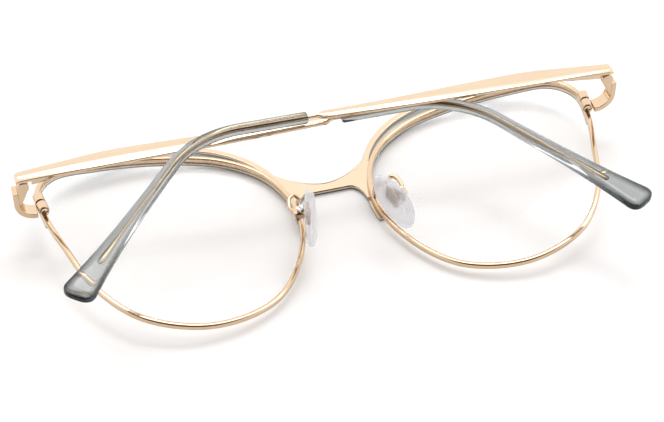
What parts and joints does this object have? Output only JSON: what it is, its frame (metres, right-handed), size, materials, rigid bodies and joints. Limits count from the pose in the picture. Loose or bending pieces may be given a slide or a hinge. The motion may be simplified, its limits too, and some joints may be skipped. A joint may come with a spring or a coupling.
{
  "type": "cat-eye eyeglasses",
  "caption": "Thin metal cat-eye eyeglasses lying face down with folded temples, clear lenses, adjustable nose pads and sleeved temple tips.",
  "frame": {"origin": "middle of the surface the glasses lie on, under the centre of their outline", "axes": "+X across the face towards the wearer's right temple as seen from behind, +Y up the face to the brow, +Z from the front back towards the ears"},
  "size_m": [0.1336, 0.0604, 0.0219],
  "materials": {
    "satin_gold": "satin champagne gold plating",
    "champagne_gold": "polished champagne gold plating",
    "clear_lens": "clear, polished",
    "grey_sleeve": "translucent grey, polished",
    "clear_silicone": "translucent silicone, soft gloss"
  },
  "bodies": {
    "front": {"front_plate": "satin_gold", "rim_wire_right": "champagne_gold", "rim_wire_left": "champagne_gold", "lens_right": "clear_lens", "lens_left": "clear_lens", "rim_lock_upper_right": "champagne_gold", "rim_lock_upper_left": "champagne_gold", "rim_lock_lower_right": "champagne_gold", "rim_lock_lower_left": "champagne_gold", "rim_lock_screw_right": "champagne_gold", "rim_lock_screw_left": "champagne_gold", "end_piece_right": "champagne_gold", "end_piece_left": "champagne_gold", "hinge_screw_right": "champagne_gold", "hinge_screw_left": "champagne_gold", "pad_arm_right": "champagne_gold", "pad_arm_left": "champagne_gold", "pad_box_right": "champagne_gold", "pad_box_left": "champagne_gold", "pad_screw_right": "champagne_gold", "pad_screw_left": "champagne_gold"},
    "temple_right": {"temple_bar_right": "satin_gold", "temple_tip_right": "grey_sleeve"},
    "temple_left": {"temple_bar_left": "satin_gold", "temple_tip_left": "grey_sleeve"},
    "nose_pad_right": {"nose_pad_right": "clear_silicone", "pad_insert_right": "champagne_gold"},
    "nose_pad_left": {"nose_pad_left": "clear_silicone", "pad_insert_left": "champagne_gold"}
  },
  "joints": [
    {"name": "temple_right_fold", "type": "hinge", "parent": "front", "child": "temple_right", "pos_m": [0.06445, 0.01114, 0.01593], "axis": [0, 1, 0], "range_deg": [0, 87]},
    {"name": "temple_left_fold", "type": "hinge", "parent": "front", "child": "temple_left", "pos_m": [-0.06445, 0.01114, 0.01593], "axis": [0, -1, 0], "range_deg": [0, 89]},
    {"name": "nose_pad_right_rock", "type": "hinge", "parent": "front", "child": "nose_pad_right", "pos_m": [0.01046, -0.00838, 0.01113], "axis": [0.1344, 0.036, 0.9903], "range_deg": [-8, 8]},
    {"name": "nose_pad_left_rock", "type": "hinge", "parent": "front", "child": "nose_pad_left", "pos_m": [-0.01046, -0.00838, 0.01113], "axis": [-0.1344, 0.036, 0.9903], "range_deg": [-8, 8]}
  ]
}
